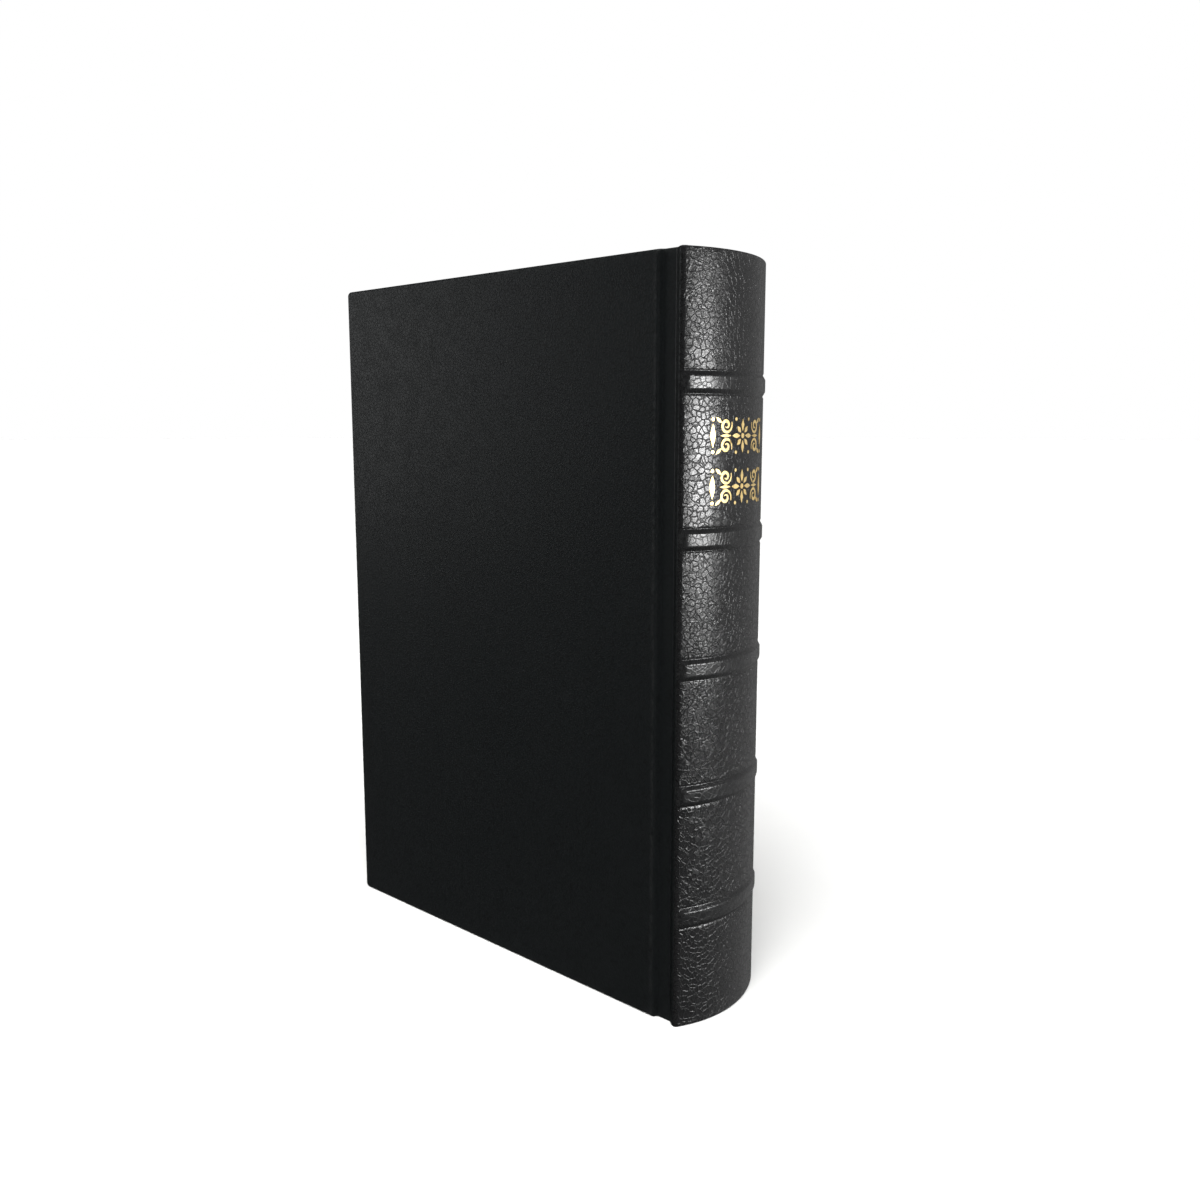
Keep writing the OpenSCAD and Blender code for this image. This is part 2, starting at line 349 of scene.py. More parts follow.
def page_paper():
    """Thin bible paper with two columns of plain grey bars where the printing would be."""
    n = Nodes("page_paper", Specular_IOR_Level=0.25, Sheen_Weight=0.05, Sheen_Roughness=0.6)
    uv = n.add("ShaderNodeUVMap", uv_map="UVMap").outputs["UV"]
    parts = n.add("ShaderNodeSeparateXYZ", {0: uv})
    u, z = parts.outputs["X"], parts.outputs["Y"]
    width = COVER_W - SQUARE

    def between(value, low, high):
        rise = n.span(value, low - BAR_BLUR, low + BAR_BLUR)
        return n.product(rise, n.span(value, high + BAR_BLUR, high - BAR_BLUR))

    columns = n.math("ADD", *(between(u, low * width, high * width) for low, high in COLUMNS))
    rows = between(z, TAIL + TAIL_MARGIN, HEAD - TOP_MARGIN)
    line = n.math("DIVIDE", z, LINE_PITCH)
    phase = n.math("FRACT", line)
    lines = n.product(n.span(phase, 0.3, 0.4), n.span(phase, 0.75, 0.65))
    row = n.math("FLOOR", line)
    breaks = n.add("ShaderNodeCombineXYZ", {0: n.product(u, 420.0), 1: n.product(row, 7.31)})
    words = n.span(n.noise(breaks.outputs[0], 1.0, 1.0), 0.34, 0.44)
    ink = n.product(n.product(columns, rows), n.product(lines, words))
    fibre = n.noise(n.rest(1500.0))
    paper = n.mix(fibre, rgb(0.56, 0.52, 0.42), rgb(0.63, 0.59, 0.50))
    tone = n.mix(n.product(ink, 0.42), paper, rgb(0.20, 0.19, 0.18))
    rough = n.span(fibre, 0.3, 0.7, 0.62, 0.78, soft=False)
    return n.out(Base_Color=tone, Roughness=rough, Normal=n.bump(fibre, 0.02 * MM))


def page_edge():
    """The cut edges of the leaves: cream, with fine lines between leaves and a little dust."""
    n = Nodes("page_edge", Specular_IOR_Level=0.2)
    fine = n.noise(n.rest((120.0, 9000.0, 120.0)), 1.0, 2.0, 0.7)
    dust = n.noise(n.rest(60.0), 1.0, 4.0)
    tone = n.mix(fine, rgb(0.40, 0.35, 0.25), rgb(0.64, 0.58, 0.46))
    tone = n.mix(n.product(dust, 0.35), tone, rgb(0.48, 0.41, 0.30))
    rough = n.span(fine, 0.3, 0.7, 0.75, 0.9, soft=False)
    return n.out(Base_Color=tone, Roughness=rough, Normal=n.bump(fine, 0.03 * MM))


def endpaper():
    """Smooth off-white endpaper with a faint fibre."""
    n = Nodes("endpaper", Specular_IOR_Level=0.3, Sheen_Weight=0.05, Sheen_Roughness=0.6)
    fibre = n.noise(n.rest((500.0, 500.0, 1600.0)), 1.0, 4.0, 0.6)
    cloud = n.noise(n.rest(28.0), 1.0, 2.0)
    tone = n.mix(fibre, rgb(0.58, 0.56, 0.49), rgb(0.66, 0.64, 0.58))
    tone = n.mix(n.product(cloud, 0.3), tone, rgb(0.54, 0.51, 0.44))
    rough = n.span(fibre, 0.3, 0.7, 0.6, 0.75, soft=False)
    return n.out(Base_Color=tone, Roughness=rough, Normal=n.bump(fibre, 0.03 * MM))


def card(name, light, dark, spot, from_rest=False):
    """Grey or brown board and lining paper, speckled with recycled fibre."""
    n = Nodes(name, Specular_IOR_Level=0.2)
    speck = n.noise(n.rest(spot) if from_rest else n.local(spot), 1.0, 5.0, 0.7)
    tone = n.mix(n.span(speck, 0.35, 0.65), dark, light)
    rough = n.span(speck, 0.3, 0.7, 0.8, 0.95, soft=False)
    return n.out(Base_Color=tone, Roughness=rough, Normal=n.bump(speck, 0.05 * MM))


def woven(name, light, dark, pitch, from_rest=False):
    """Open-weave cloth: two crossing sets of threads."""
    n = Nodes(name, Specular_IOR_Level=0.2, Sheen_Weight=0.3, Sheen_Roughness=0.5)
    coords = n.rest(1.0) if from_rest else n.local(1.0)
    parts = n.add("ShaderNodeSeparateXYZ", {0: coords})
    half_turn = math.pi / pitch
    along = n.math("ADD", parts.outputs["X"], parts.outputs["Y"])
    warp = n.math("ABSOLUTE", n.math("SINE", n.product(along, half_turn)))
    weft = n.math("ABSOLUTE", n.math("SINE", n.product(parts.outputs["Z"], half_turn)))
    threads = n.math("MAXIMUM", warp, weft)
    fuzz = n.noise(n.scaled(coords, 2500.0), 1.0, 2.0)
    tone = n.mix(n.product(threads, n.span(fuzz, 0.2, 0.8, 0.7, 1.0)), dark, light)
    rough = n.span(fuzz, 0.3, 0.7, 0.8, 0.95, soft=False)
    return n.out(Base_Color=tone, Roughness=rough, Normal=n.bump(threads, 0.1 * MM))


def silk(name, light, dark):
    """Silk thread wound round the headband."""
    n = Nodes(name, Specular_IOR_Level=0.4, Sheen_Weight=0.4, Sheen_Roughness=0.35)
    twist = n.noise(n.rest((2500.0, 2500.0, 700.0)))
    tone = n.mix(twist, dark, light)
    rough = n.span(twist, 0.3, 0.7, 0.4, 0.55, soft=False)
    return n.out(Base_Color=tone, Roughness=rough, Normal=n.bump(twist, 0.05 * MM))


def gold_foil():
    """Hot-stamped gold foil that has taken on the grain below it, with a few pinholes worn in."""
    n = Nodes("gold_foil", Metallic=1.0)
    grain = n.noise(n.rest(900.0))
    cloud = n.noise(n.rest(150.0), 1.0, 2.0)
    tone = n.mix(cloud, rgb(0.86, 0.60, 0.22), rgb(0.98, 0.80, 0.42))
    tone = n.mix(n.span(grain, 0.30, 0.36, 1.0, 0.0), tone, rgb(0.30, 0.20, 0.08))
    rough = n.span(grain, 0.3, 0.7, 0.38, 0.52, soft=False)
    return n.out(Base_Color=tone, Roughness=rough, Normal=n.bump(grain, 0.05 * MM))


COVER_LEATHER = leatherette("cover_leatherette", 1.05 * MM, 0.026 * MM, 0.29,
                            (0.0034, 0.0046, 0.0050), (0.0052, 0.0064, 0.0068))
SPINE_LEATHER = leatherette("spine_leatherette", 1.6 * MM, 0.085 * MM, 0.19,
                            (0.0048, 0.0048, 0.0051), (0.0066, 0.0065, 0.0068))
PAGE = page_paper()
EDGE = page_edge()
ENDPAPER = endpaper()
BOARD_GREYS = (rgb(0.33, 0.32, 0.30), rgb(0.20, 0.19, 0.17))
GREYBOARD = card("greyboard", *BOARD_GREYS, 700.0)
BAND_CARD = card("band_card", *BOARD_GREYS, 700.0, from_rest=True)
LINING = card("lining_paper", rgb(0.52, 0.38, 0.23), rgb(0.40, 0.28, 0.16), 400.0)
MULL_CREAMS = (rgb(0.74, 0.72, 0.65), rgb(0.42, 0.40, 0.34))
MULL = woven("mull", *MULL_CREAMS, 1.1 * MM)
MULL_BENT = woven("mull_flap", *MULL_CREAMS, 1.1 * MM, from_rest=True)
THREAD = woven("thread", rgb(0.80, 0.78, 0.70), rgb(0.55, 0.52, 0.44), 0.35 * MM)
RED_SILK = silk("red_silk", rgb(0.45, 0.020, 0.025), rgb(0.22, 0.008, 0.010))
IVORY_SILK = silk("ivory_silk", rgb(0.78, 0.74, 0.62), rgb(0.55, 0.50, 0.40))
GOLD = gold_foil()


def finish_piece(obj, materials, nodes):
    """Gives a piece its materials and hides the CAD nodes that it stands for."""
    for material in materials:
        obj.data.materials.append(material)
    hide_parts(*nodes)
    return obj


def hinge_blend(obj):
    """Bakes a piece's transform into its mesh."""
    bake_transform(obj)


def mark(obj, name, values):
    """Stores a value per vertex of a slab's two grids for its material to read."""
    attribute = obj.data.attributes.new(name, "FLOAT", "POINT")
    attribute.data.foreach_set("value", np.concatenate([values.ravel()] * 2).astype(np.float32))


# --- Covers ---

GROOVE_FLOOR = (3.3 * MM, 6.8 * MM)     # u where the pressed joint is flat at its bottom
RIM_OUT, RIM_IN = 0.9 * MM, 0.5 * MM    # rounding of a cover's outer and inner rim
RIM_THIN = 0.45 * MM                    # rounding where there is no board in the leatherette
CORNER = 1.6 * MM
LAYER_RAMP = 0.9 * MM                   # length over which a surface steps up over another layer
BEND_STEP = 0.3 * MM                    # the mull and the pastedown share their steps in the joint


def groove_depth(u):
    """Depth of the pressed joint below the cover's face."""
    down = smooth((u - SHOULDER) / (GROOVE_FLOOR[0] - SHOULDER))
    up = smooth((u - GROOVE_FLOOR[1]) / (BOARD_EDGE + 0.1 * MM - GROOVE_FLOOR[1]))
    return GROOVE * down * (1 - up)


def turned(z):
    """1 over the leatherette that is turned in at head and tail, 0 between."""
    rise = smooth((z - TURN_IN + LAYER_RAMP) / LAYER_RAMP)
    return 1 - rise * smooth((HEIGHT - TURN_IN + LAYER_RAMP - z) / LAYER_RAMP)


def framed(u, z):
    """1 over all of a cover's turned-in leatherette, 0 inside it."""
    return np.maximum(turned(z), smooth((u - (COVER_W - TURN_IN)) / LAYER_RAMP))


def round_corners(u, z):
    """Moves the points of a cover's outer corners onto a small arc, in the plane of the cover."""
    du = np.clip(CORNER - (COVER_W - u), 0, None)
    dz = np.clip(CORNER - np.minimum(z, HEIGHT - z), 0, None)
    reach = np.maximum(np.hypot(du, dz), 1e-12)
    scale = np.where((du > 0) & (dz > 0), np.maximum(du, dz) / reach, 1.0)
    low = z < HEIGHT / 2
    new_u = np.where(du > 0, COVER_W - CORNER + du * scale, u)
    new_z = np.where(dz > 0, np.where(low, CORNER - dz * scale, HEIGHT - CORNER + dz * scale), z)
    return new_u, new_z


def rim_distance(u, z):
    """Distance of a cover's point from its fore-edge, head or tail, measured round the corners."""
    du = COVER_W - u
    dz = np.minimum(z, HEIGHT - z)
    corner = (du < CORNER) & (dz < CORNER)
    round_distance = CORNER - np.hypot(CORNER - du, CORNER - dz)
    return np.maximum(np.where(corner, round_distance, np.minimum(du, dz)), 0.0)


def around(centres, step, below, above):
    """Positions a step apart, from so many steps below each centre to so many above it."""
    return [c + k * step for c in centres for k in range(-below, above + 1)]


def cover_leather(side):
    """A cover's leatherette, turned in round its board, with the pressed joint along the spine."""
    steps_u = list(np.arange(SHOULDER, BOARD_EDGE + 2.2 * MM, 0.2 * MM))
    steps_u += around([COVER_W - TURN_IN], 0.15 * MM, 1, 7)
    steps_u += rim_steps(COVER_W, RIM_OUT, 6) + around([COVER_W - CORNER], 0.2 * MM, 0, 8)
    steps_z = around([TURN_IN - 1 * MM, HEIGHT - TURN_IN - 0.1 * MM], 0.15 * MM, 0, 7)
    steps_z += rim_steps(HEIGHT, RIM_OUT, 6) + rim_steps(HEIGHT, CORNER, 8)
    us = graded(SHOULDER, COVER_W, 2.5 * MM, steps_u)
    zs = graded(0.0, HEIGHT, 2.5 * MM, steps_z)
    u, z = np.meshgrid(us, zs, indexing="ij")
    uv = np.stack([u, z], axis=-1)
    u, z = round_corners(u, z)
    away = rim_distance(u, z)
    on_board = smooth((u - GROOVE_FLOOR[1]) / (1.8 * MM))
    outer = groove_depth(u) + drop(away, RIM_THIN + (RIM_OUT - RIM_THIN) * on_board)
    joint_in = groove_depth(u) + LEATHER + 0.4 * MM * turned(z)
    board_in = BOARD_IN + LEATHER * framed(u, z)
    inner = np.where(u < BOARD_EDGE, joint_in, board_in)
    inner -= np.minimum(drop(away, RIM_IN), (inner - outer) * 0.45)
    slab = slab_data(place(side, u, outer, z), place(side, u, inner, z), uv, side == "back")
    obj = slab_object(f"{side}_cover_leatherette", slab)
    on_board_edge = np.exp(-((u - BOARD_EDGE - 0.5 * MM) / (0.5 * MM)) ** 2)
    mark(obj, "wear", np.exp(-away / (0.7 * MM)) + 0.5 * on_board_edge)
    mark(obj, "pressed", smooth(groove_depth(u) / (0.7 * GROOVE)))
    finish_piece(obj, [COVER_LEATHER], [f"{side}_cover_leather"])
    hinge_blend(obj)


def sheet_piece(name, slab, material, node):
    """A single sheet with its material, in place of its CAD node."""
    obj = slab_object(name, slab)
    finish_piece(obj, [material], [node])
    hinge_blend(obj)


def pastedown(side):
    """The endpaper inside a cover; it follows the turn-ins and the mull's edge below it."""
    steps_u = around([FLAP_EDGE], 0.2 * MM, 1, 6) + around([COVER_W - TURN_IN], 0.2 * MM, 6, 2)
    steps_u += list(np.arange(HINGE, BOARD_EDGE + 2 * MM, BEND_STEP))
    steps_z = around([TURN_IN, HEIGHT - TURN_IN], 0.2 * MM, 5, 5)
    us = graded(HINGE, COVER_W - SQUARE, 5 * MM, steps_u)
    zs = graded(SQUARE, HEIGHT - SQUARE, 5 * MM, steps_z)
    u, z = np.meshgrid(us, zs, indexing="ij")
    between_ends = smooth((z - TURN_IN) / LAYER_RAMP) * smooth((HEIGHT - TURN_IN - z) / LAYER_RAMP)
    raised = np.maximum(1 - between_ends, smooth((u - (COVER_W - TURN_IN - LAYER_RAMP)) / LAYER_RAMP))
    on_mull = 1 - smooth((u - FLAP_EDGE) / LAYER_RAMP)
    on_board = BOARD_IN + PAPER
    level = on_board + (COVER_T - BOARD_IN - PAPER) * raised
    level = np.maximum(level, on_board + 0.3 * MM * on_mull)
    level = level + (COVER_T - level) * (1 - smooth((u - HINGE) / (4 * MM)))
    sheet_piece(f"{side}_pastedown_sheet", cover_slab(side, us, zs, level - PAPER, level),
                ENDPAPER, f"{side}_pastedown")


MULL_OUT, MULL_IN = 0.28 * MM, 0.07 * MM        # the mull's faces, measured from its CAD inner face
MULL_FALL = 0.12 * MM                           # how much deeper it lies at the hinge


def mull_flap(side):
    """The cloth flap between board and pastedown."""
    lo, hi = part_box(f"{side}_mull_flap")
    inner_v = HALF_T - min(abs(lo.y), abs(hi.y))
    us = graded(HINGE, FLAP_EDGE, 4 * MM, list(np.arange(HINGE, BOARD_EDGE + 2 * MM, BEND_STEP)))
    zs = graded(TURN_IN, HEIGHT - TURN_IN, 8 * MM, [])
    u = np.meshgrid(us, zs, indexing="ij")[0]
    fall = MULL_FALL * (1 - smooth((u - HINGE) / (4 * MM)))
    slab = cover_slab(side, us, zs, inner_v - MULL_OUT + fall, inner_v - MULL_IN + fall)
    sheet_piece(f"{side}_mull_hinge", slab,
                MULL_BENT, f"{side}_mull_flap")


# --- Text block ---

def fore_edge(v):
    """u of the hollow fore-edge at a depth."""
    y = HALF_T - v
    return CREST - (PAGE_X + math.sqrt(BLOCK_R ** 2 - y ** 2))


def back_edge(y):
    """u of the rounded back at a distance from the middle of the block."""
    return CREST - (SPINE_X + math.sqrt(BLOCK_R ** 2 - min(abs(y), BLOCK_R) ** 2))


UNEVEN_EDGE, UNEVEN_END = 0.22, 0.12    # most millimetres that a leaf falls short at a cut edge
LEAN = 1.45 * MM                        # how far the outermost leaf leans over the shoulder
LEAN_FADE = 2.6 * MM                    # depth over which that fades
FLAT_FROM = HINGE + 0.4 * MM            # u from which on a leaf is flat
BACK_GAP = 0.08 * MM                    # from the back of the block to a leaf's fold


def add_leaf(parts, side, v, thick, rng, fold_round=0.0):
    """One leaf, a closed sheet from the rounded back to the fore-edge, curved over the shoulder."""
    far = fore_edge(v) - rng.uniform(0.0, UNEVEN_EDGE) * MM
    low = TAIL + rng.uniform(0.0, UNEVEN_END) * MM
    high = HEAD - rng.uniform(0.0, UNEVEN_END) * MM
    lean = LEAN * math.exp(-(v - COVER_T) / LEAN_FADE)
    near = back_edge(HALF_T - v + lean) + BACK_GAP + fold_round
    bend = list(np.arange(near, 6 * MM, 0.5 * MM)) + list(np.arange(6 * MM, 32 * MM, 1.3 * MM))
    us = graded(near, far, 12 * MM, bend)
    zs = np.linspace(low, high, 4)
    u = np.meshgrid(us, zs, indexing="ij")[0]
    outer = v - lean * smooth((FLAT_FROM - u) / (FLAT_FROM - near))
    verts, faces, uvs, flags = cover_slab(side, us, zs, outer, outer + thick)
    offset = sum(len(p[0]) for p in parts)
    parts.append((verts, [tuple(i + offset for i in f) for f in faces], uvs, flags))


def joined(name, parts, materials, nodes):
    """One finished piece from parts, each with vertices, faces, UVs and a material index per face."""
    verts = np.concatenate([p[0] for p in parts])
    faces = [f for p in parts for f in p[1]]
    uvs = np.concatenate([p[2] for p in parts])
    kinds = [k for p in parts for k in p[3]]
    obj = mesh_object(name, verts, faces, uvs, kinds)
    return finish_piece(obj, materials, nodes)


def leaf_depths(node):
    """Depths of a CAD node of leaves, from its outer to its inner face."""
    lo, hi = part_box(node)
    return sorted((HALF_T - abs(lo.y), HALF_T - abs(hi.y)))


LEAF_PITCH = 0.098 * MM                                # from leaf to leaf, about
LEAF_FILL = 0.9                                        # share of the pitch that is paper
LEAF_BENDS = {1: 15 * MM, 2: 20 * MM, 3: 27 * MM}      # u where each group of leaves stops bending
SECTIONS = 8                                           # sewn sections that stay in the middle


def leaf_group(side, i, rng):
    """One of the three groups of leaves that follow a cover; group 1 is the outermost."""
    outer, inner = leaf_depths(f"{side}_leaves_{i}")
    count = round((inner - outer) / LEAF_PITCH)
    pitch = (inner - outer) / count
    parts = []
    for k in range(count):
        add_leaf(parts, side, outer + k * pitch, pitch * LEAF_FILL, rng)
    nodes = [f"{side}_leaves_{i}"] + ([f"{side}_section_folds"] if i == 1 else [])
    obj = joined(f"{side}_leaf_stack_{i}", parts, [PAGE, EDGE], nodes)
    hinge_blend(obj)


def flyleaf(side):
    """The free leaf of an endpaper."""
    outer, inner = leaf_depths(f"{side}_flyleaf")
    us = graded(HINGE, fore_edge(outer), 8 * MM, list(np.arange(HINGE, 14 * MM, 0.5 * MM)))
    zs = graded(TAIL, HEAD, 20 * MM, [])
    sheet_piece(f"{side}_flyleaf_sheet", cover_slab(side, us, zs, outer, inner),
                ENDPAPER, f"{side}_flyleaf")


def middle_block(rng):
    """The sections that stay between both halves, each with its leaves folded round its middle."""
    lo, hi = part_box("middle_sections")
    section = (hi.y - lo.y) / SECTIONS
    per = round(section / LEAF_PITCH)
    pitch = section / per
    parts = []
    for s in range(SECTIONS):
        for k in range(per):
            v = HALF_T - hi.y + s * section + k * pitch
            from_middle = abs((k + 0.5) / per - 0.5) * 2
            fold = 0.45 * section * (1 - math.sqrt(max(1 - from_middle ** 2, 0.0)))
            add_leaf(parts, "front", v, pitch * LEAF_FILL, rng, fold)
    obj = joined("middle_leaf_block", parts, [PAGE, EDGE], ["middle_sections"])
    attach(obj, "book_block")


WRAPS, WRAP_ROWS, BEAD_SIDES = 62, 6, 14        # turns of silk, rows of a turn, corners of a row
WRAP_DIP = 0.09                                 # share by which the bead is thinner between two turns
TAPE_OUT, TAPE_IN = 0.28 * MM, 0.02 * MM        # the tape's faces, measured from the block's back


def end_band(name, node, head):
    """Silk wound in stripes round a cord on the end of the block, with its tape on the back."""
    radius = (BEAD_TOP - HEAD) / 2
    centre_r = BLOCK_R - radius / 2
    half_angle = math.asin(TAPE_HALF / BLOCK_R) - 0.01
    rows = WRAPS * WRAP_ROWS
    z_mid = HEAD + radius if head else TAIL - radius
    verts, uvs = [], []
    for i in range(rows + 1):
        a = -half_angle + 2 * half_angle * i / rows
        swell = 1 - WRAP_DIP * abs(math.cos(math.pi * i / WRAP_ROWS))
        close = min(1.0, 0.25 + min(i, rows - i) / 4)
        for k in range(BEAD_SIDES):
            b = 2 * math.pi * k / BEAD_SIDES
            r = centre_r + radius * swell * close * math.cos(b)
            z = z_mid + radius * swell * close * math.sin(b)
            verts.append((SPINE_X + r * math.cos(a), r * math.sin(a), z))
            uvs.append((a * centre_r, b * radius))
    faces, kinds = [], []
    for i in range(rows):
        for k in range(BEAD_SIDES):
            a, b = i * BEAD_SIDES + k, i * BEAD_SIDES + (k + 1) % BEAD_SIDES
            faces.append((a, a + BEAD_SIDES, b + BEAD_SIDES, b))
            kinds.append((i // WRAP_ROWS // 2) % 2)
    faces.append(tuple(range(BEAD_SIDES)))
    faces.append(tuple(range(len(verts) - 1, rows * BEAD_SIDES - 1, -1)))
    kinds += [0, 0]
    bead = np.array(verts), faces, np.array(uvs), kinds
    parts = [bead, tape(len(verts), half_angle, head)]
    obj = joined(name, parts, [RED_SILK, IVORY_SILK], [node])
    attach(obj, "book_block")


def on_arc(r, a, z):
    """Points round the axis of the spine, at a radius, an angle and a height."""
    return np.stack([SPINE_X + r * np.cos(a), r * np.sin(a), z], axis=-1)


def arc_slab(a, z, uv, out_r, in_r, flip=True):
    """A closed slab between two radii over a grid of angles and heights."""
    return slab_data(on_arc(out_r, a, z), on_arc(in_r, a, z), uv, flip)


def shifted(slab, offset, kind):
    """A slab as one of several parts: its vertices count on from offset, its faces have one material."""
    verts, faces, uvs = slab[:3]
    return verts, [tuple(i + offset for i in f) for f in faces], uvs, [kind] * len(faces)


def tape(offset, half_angle, head):
    """The cloth tape that holds an end band to the back of the block."""
    angles = np.linspace(-half_angle, half_angle, 30)
    ends = (HEIGHT - TURN_IN, HEAD + 0.6 * MM) if head else (TAIL - 0.6 * MM, TURN_IN)
    a, z = np.meshgrid(angles, np.linspace(*ends, 6), indexing="ij")
    uv = np.stack([a * BLOCK_R, z], axis=-1)
    return shifted(arc_slab(a, z, uv, BLOCK_R + TAPE_OUT, BLOCK_R + TAPE_IN), offset, 1)


# --- Spine ---

FILLET = 1.5 * MM                               # rounding of the spine's shoulders
SPINE_RIM = 0.6 * MM                            # rounding of its head and tail rims
BAND_FLAT, BAND_SLOPE = 1.5 * MM, 1.2 * MM      # half the flat of a raised band, and its slope's length
CREASE_AT, CREASE_DEPTH, CREASE_WIDTH = 2.95 * MM, 0.22 * MM, 0.3 * MM


def spine_profile():
    """Points, normals and arc lengths along the spine's plan, from the front shoulder to the back one."""
    fillet_x = SPINE_X + math.sqrt((SPINE_R - FILLET) ** 2 - (HALF_T - FILLET) ** 2)
    tilt = math.atan2(HALF_T - FILLET, fillet_x - SPINE_X)
    half = [(SPINE_X, 0.0, SPINE_R, a) for a in np.linspace(0, tilt, 44)[:-1]]
    half += [(fillet_x, HALF_T - FILLET, FILLET, a) for a in np.linspace(tilt, math.pi / 2, 10)]
    points, normals = [], []
    for cx, cy, r, a in half:
        points.append((cx + r * math.cos(a), cy + r * math.sin(a)))
        normals.append((math.cos(a), math.sin(a)))
    points[-1] = (CREST - SHOULDER, points[-1][1])
    points = np.array([(x, -y) for x, y in points[:0:-1]] + points)
    normals = np.array([(x, -y) for x, y in normals[:0:-1]] + normals)
    steps = np.hypot(*np.diff(points, axis=0).T)
    length = np.concatenate([[0], np.cumsum(steps)])
    return points, normals, length - length[-1] / 2


def nearest_band(z):
    """Distance from the middle of the nearest band at a height."""
    return np.min([np.abs(z - b) for b in BANDS], axis=0)


def band_relief(z):
    """How far the raised bands lift the spine at a height."""
    return BAND_RAISE * sum(1 - smooth((np.abs(z - b) - BAND_FLAT) / BAND_SLOPE) for b in BANDS)


def crease_relief(z):
    """How deep the tooled lines beside the bands are at a height."""
    lines = [b + s * CREASE_AT for b in BANDS for s in (-1, 1)]
    return CREASE_DEPTH * sum(np.exp(-((z - line) / CREASE_WIDTH) ** 2) for line in lines)


def spine_leather():
    """The spine's leatherette, lifted over the bands and turned in at head and tail."""
    points, normals, s = spine_profile()
    steps_z = around(BANDS, 0.16 * MM, 24, 24) + rim_steps(HEIGHT, SPINE_RIM, 6)
    steps_z += around([TURN_IN, HEIGHT - TURN_IN], 0.2 * MM, 5, 5)
    zs = graded(0.0, HEIGHT, 2 * MM, steps_z)
    arc, z = np.meshgrid(s, zs, indexing="ij")
    edge = s[-1] - np.abs(arc)
    # The bands and their creases fade out before the shoulders.
    fade = smooth((edge - 0.9 * MM) / (1.6 * MM))
    away = np.minimum(z, HEIGHT - z)
    off_edge = smooth(edge / (2 * MM))
    rim = SPINE_RIM * off_edge + RIM_THIN * (1 - off_edge)
    lift = band_relief(z) * fade - crease_relief(z) * smooth(edge / (1.2 * MM)) - drop(away, rim)
    thick = LEATHER + 1.0 * MM * turned(z) * smooth((edge - 1.6 * MM) / (1.2 * MM))
    depth = -thick + np.minimum(drop(away, RIM_IN), thick * 0.4)
    px, py = points[:, 0][:, None], points[:, 1][:, None]
    nx, ny = normals[:, 0][:, None], normals[:, 1][:, None]
    outer = np.stack([px + nx * lift, py + ny * lift, z], axis=-1)
    inner = np.stack([px + nx * depth, py + ny * depth, z], axis=-1)
    uv = np.stack([arc, z], axis=-1)
    slab = slab_data(outer, inner, uv, True)
    obj = slab_object("spine_leatherette", slab)
    wear = np.exp(-away / (0.8 * MM)) + 0.35 * smooth(band_relief(z) / BAND_RAISE)
    mark(obj, "wear", wear)
    # In the photo the grain is flat on the bands, and half so in the upper panels and at the tail.
    on_band = smooth((3.4 * MM - nearest_band(z)) / (0.5 * MM))
    handled = smooth((z - BANDS[2]) / (BANDS[3] - BANDS[2])) + smooth((BANDS[0] - z) / (8 * MM))
    mark(obj, "pressed", np.maximum(on_band, 0.5 * handled))
    finish_piece(obj, [SPINE_LEATHER], ["spine_leather"])
    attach(obj, "book_block")


def raised_band(i):
    """The card strip under a band: rounded above and below, thinned towards the shoulders."""
    lo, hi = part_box(f"raised_band_{i}")
    inner_r = SPINE_R - LEATHER
    half_a = math.asin((HALF_T - FILLET) / inner_r)
    angles = np.linspace(-half_a, half_a, 41)
    zs = np.linspace(lo.z, hi.z, 15)
    a, z = np.meshgrid(angles, zs, indexing="ij")
    away = np.minimum(z - lo.z, hi.z - z)
    to_shoulder = (half_a - np.abs(a)) * inner_r
    lift = BAND_RAISE * smooth(away / (1.1 * MM)) * smooth(to_shoulder / (2.2 * MM))
    uv = np.stack([a * SPINE_R, z], axis=-1)
    slab = arc_slab(a, z, uv, inner_r + 0.9 * lift, inner_r - 0.02 * MM)
    obj = slab_object(f"band_card_{i}", slab)
    finish_piece(obj, [BAND_CARD], [f"raised_band_{i}"])
    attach(obj, "book_block")


# --- Gold ornament ---

def stroke(points, widths):
    """Both edges of a pen stroke along points, as two lists."""
    points = np.asarray(points, float)
    tangent = np.gradient(points, axis=0)
    tangent /= np.maximum(np.hypot(*tangent.T)[:, None], 1e-12)
    side = np.stack([-tangent[:, 1], tangent[:, 0]], axis=1) * (np.asarray(widths) / 2)[:, None]
    return points + side, points - side


def spiral(centre, radius, across, up):
    """A curl that starts thin beside the row's axis and ends in its own middle."""
    t = np.linspace(0, 1, 48)
    angle = math.radians(205) - t * math.radians(520)
    reach = radius * (1 - 0.80 * t ** 0.85)
    x = centre[0] + across * reach * np.cos(angle)
    points = np.stack([x, centre[1] - up * reach * np.sin(angle)], axis=1)
    return stroke(points, radius * (0.12 + 0.26 * np.sin(math.pi * np.clip(t * 1.1, 0, 1)) ** 0.8))


def leaf_shape(centre, length, width, angle):
    """A pointed leaf, also used as a lozenge with curved sides."""
    t = np.linspace(-1, 1, 17)
    half = width / 2 * (1 - np.abs(t) ** 1.5)
    axis = np.array([math.cos(angle), math.sin(angle)])
    across = np.array([-axis[1], axis[0]])
    spine = np.array(centre) + t[:, None] * axis * length / 2
    return spine + across * half[:, None], spine - across * half[:, None]


def dot(centre, radius):
    """A round dot, as two arcs."""
    t = np.linspace(0, math.pi, 11)
    x = centre[0] - radius * np.cos(t)
    return (np.stack([x, centre[1] + radius * np.sin(t)], axis=1),
            np.stack([x, centre[1] - radius * np.sin(t)], axis=1))


